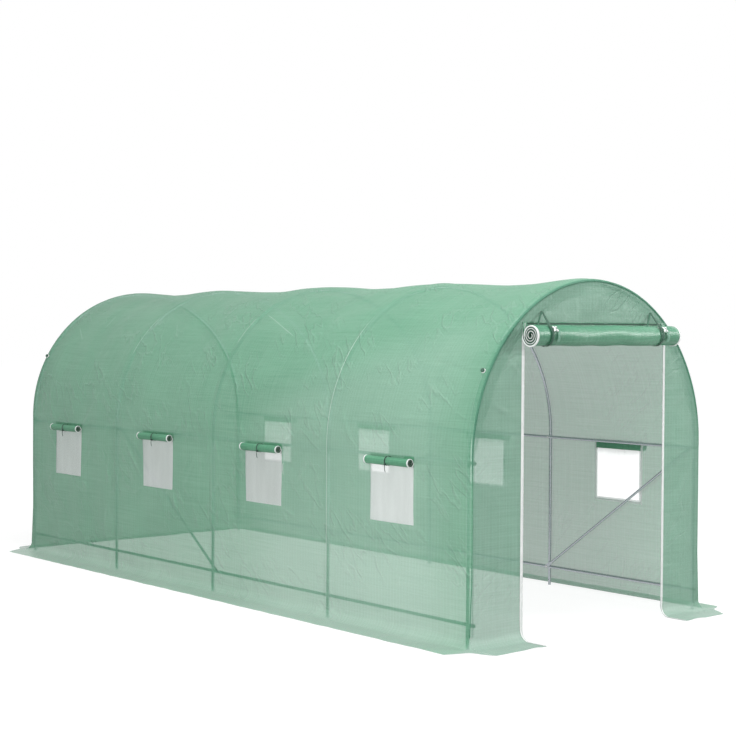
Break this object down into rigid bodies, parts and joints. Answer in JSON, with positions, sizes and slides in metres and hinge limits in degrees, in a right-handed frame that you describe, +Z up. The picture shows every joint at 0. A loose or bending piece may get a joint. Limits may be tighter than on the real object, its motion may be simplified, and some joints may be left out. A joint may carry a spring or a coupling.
{
  "type": "polytunnel greenhouse",
  "caption": "Walk-in polytunnel greenhouse: hooped steel tube frame under a translucent green sheet with a rolled-up door, netted side windows and a ground skirt.",
  "frame": {"origin": "middle of the footprint, on the ground", "axes": "+Z up, +Y along the tunnel away from the door, +X to the right seen from the door"},
  "size_m": [2.4, 5.4, 2.05],
  "materials": {
    "galvanised_steel": "satin",
    "green_sheet": "translucent woven film",
    "rolled_sheet": "rolled translucent film, near opaque",
    "insect_net": "fine pale net",
    "zip_tape": "white zip tape",
    "webbing": "woven green webbing",
    "white_plastic": "gloss"
  },
  "bodies": {
    "root": {"arch_1": "galvanised_steel", "arch_2": "galvanised_steel", "arch_3": "galvanised_steel", "arch_4": "galvanised_steel", "arch_5": "galvanised_steel", "cover_knobs": "white_plastic", "door_roll": "rolled_sheet", "front_gable": "green_sheet", "front_hem": "green_sheet", "front_left_panel": "green_sheet", "front_left_skirt": "green_sheet", "front_right_panel": "green_sheet", "front_right_skirt": "green_sheet", "left_brace": "galvanised_steel", "left_door_strap": "webbing", "left_door_zip": "zip_tape", "left_lower_rail": "galvanised_steel", "left_middle_rail": "galvanised_steel", "left_posts": "galvanised_steel", "left_skirt": "green_sheet", "left_strap_clip": "white_plastic", "left_wall": "green_sheet", "left_window_nets": "insect_net", "left_window_rolls": "rolled_sheet", "rear_hem": "green_sheet", "rear_skirt": "green_sheet", "rear_wall": "green_sheet", "right_brace": "galvanised_steel", "right_door_strap": "webbing", "right_door_zip": "zip_tape", "right_lower_rail": "galvanised_steel", "right_middle_rail": "galvanised_steel", "right_posts": "galvanised_steel", "right_skirt": "green_sheet", "right_strap_clip": "white_plastic", "right_wall": "green_sheet", "right_window_nets": "insect_net", "right_window_rolls": "rolled_sheet", "roof_bay_1": "green_sheet", "roof_bay_2": "green_sheet", "roof_bay_3": "green_sheet", "roof_bay_4": "green_sheet"}
  },
  "joints": []
}
